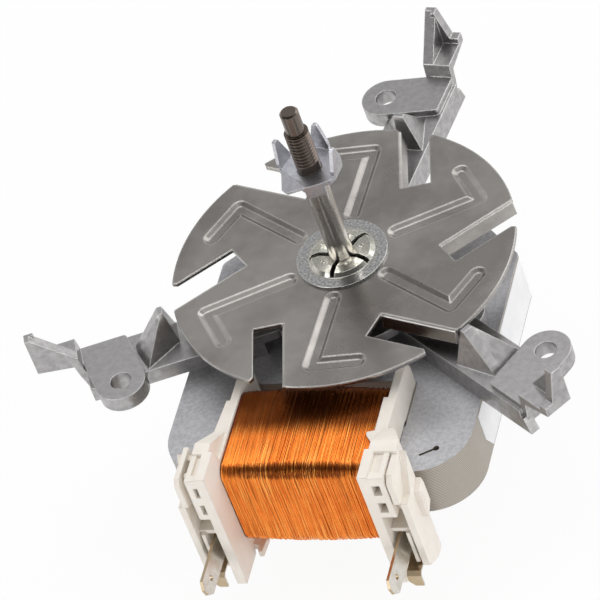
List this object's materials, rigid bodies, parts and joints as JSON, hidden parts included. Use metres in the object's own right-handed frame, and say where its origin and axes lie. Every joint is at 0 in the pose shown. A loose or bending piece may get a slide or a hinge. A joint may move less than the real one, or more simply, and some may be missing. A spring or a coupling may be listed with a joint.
{
  "type": "oven fan motor",
  "caption": "Shaded-pole oven fan motor with a laminated stator and side coil, a cast three-armed mounting bracket, a cooling disc and a long shaft with a star driver, thread and pilot.",
  "frame": {"origin": "on the shaft's axis, in the top plane of the three mounting lugs", "axes": "+Z along the shaft towards the fan wheel's end, -Y towards the coil and its terminals, +X to the right seen from the coil's side with the shaft up"},
  "size_m": [0.1367, 0.159, 0.0877],
  "materials": {
    "disc_steel": "satin",
    "zinc_spring": "satin",
    "shaft_steel": "ground",
    "star_steel": "satin",
    "cast_aluminium": "as cast",
    "lamination": "satin",
    "copper_winding": "enamelled copper",
    "copper_ring": "bare copper",
    "bobbin_plastic": "moulded",
    "tinned_brass": "tin plated",
    "paper": "matt paper",
    "fastener_steel": "zinc plated",
    "bearing_bronze": "sintered",
    "felt": "felt",
    "cage_aluminium": "as cast",
    "brass_sleeve": "turned",
    "fibre": "fibre"
  },
  "bodies": {
    "frame": {"front_bracket": "cast_aluminium", "rear_bracket": "cast_aluminium", "stator_core": "lamination", "coil_core": "lamination", "coil": "copper_winding", "bobbin": "bobbin_plastic", "terminal_tab_left": "tinned_brass", "terminal_tab_right": "tinned_brass", "terminal_clip_left": "tinned_brass", "terminal_clip_right": "tinned_brass", "rating_label": "paper", "shading_rings": "copper_ring", "bracket_screws": "fastener_steel", "bracket_nuts": "fastener_steel", "stack_rivets": "fastener_steel", "front_bearing": "bearing_bronze", "rear_bearing": "bearing_bronze", "front_felt": "felt", "rear_felt": "felt", "front_retainer": "zinc_spring", "rear_retainer": "zinc_spring"},
    "rotor": {"shaft": "shaft_steel", "rotor_core": "lamination", "rotor_cage": "cage_aluminium", "rotor_spacers": "brass_sleeve", "thrust_washers": "fibre", "retaining_clip": "zinc_spring", "disc_seat": "zinc_spring", "cooling_disc": "disc_steel", "hub_washer": "zinc_spring", "star_driver": "star_steel"}
  },
  "joints": [
    {"name": "rotor_spin", "type": "hinge", "parent": "frame", "child": "rotor", "pos_m": [0, 0, 0], "axis": [0, 0, 1], "continuous": true}
  ]
}
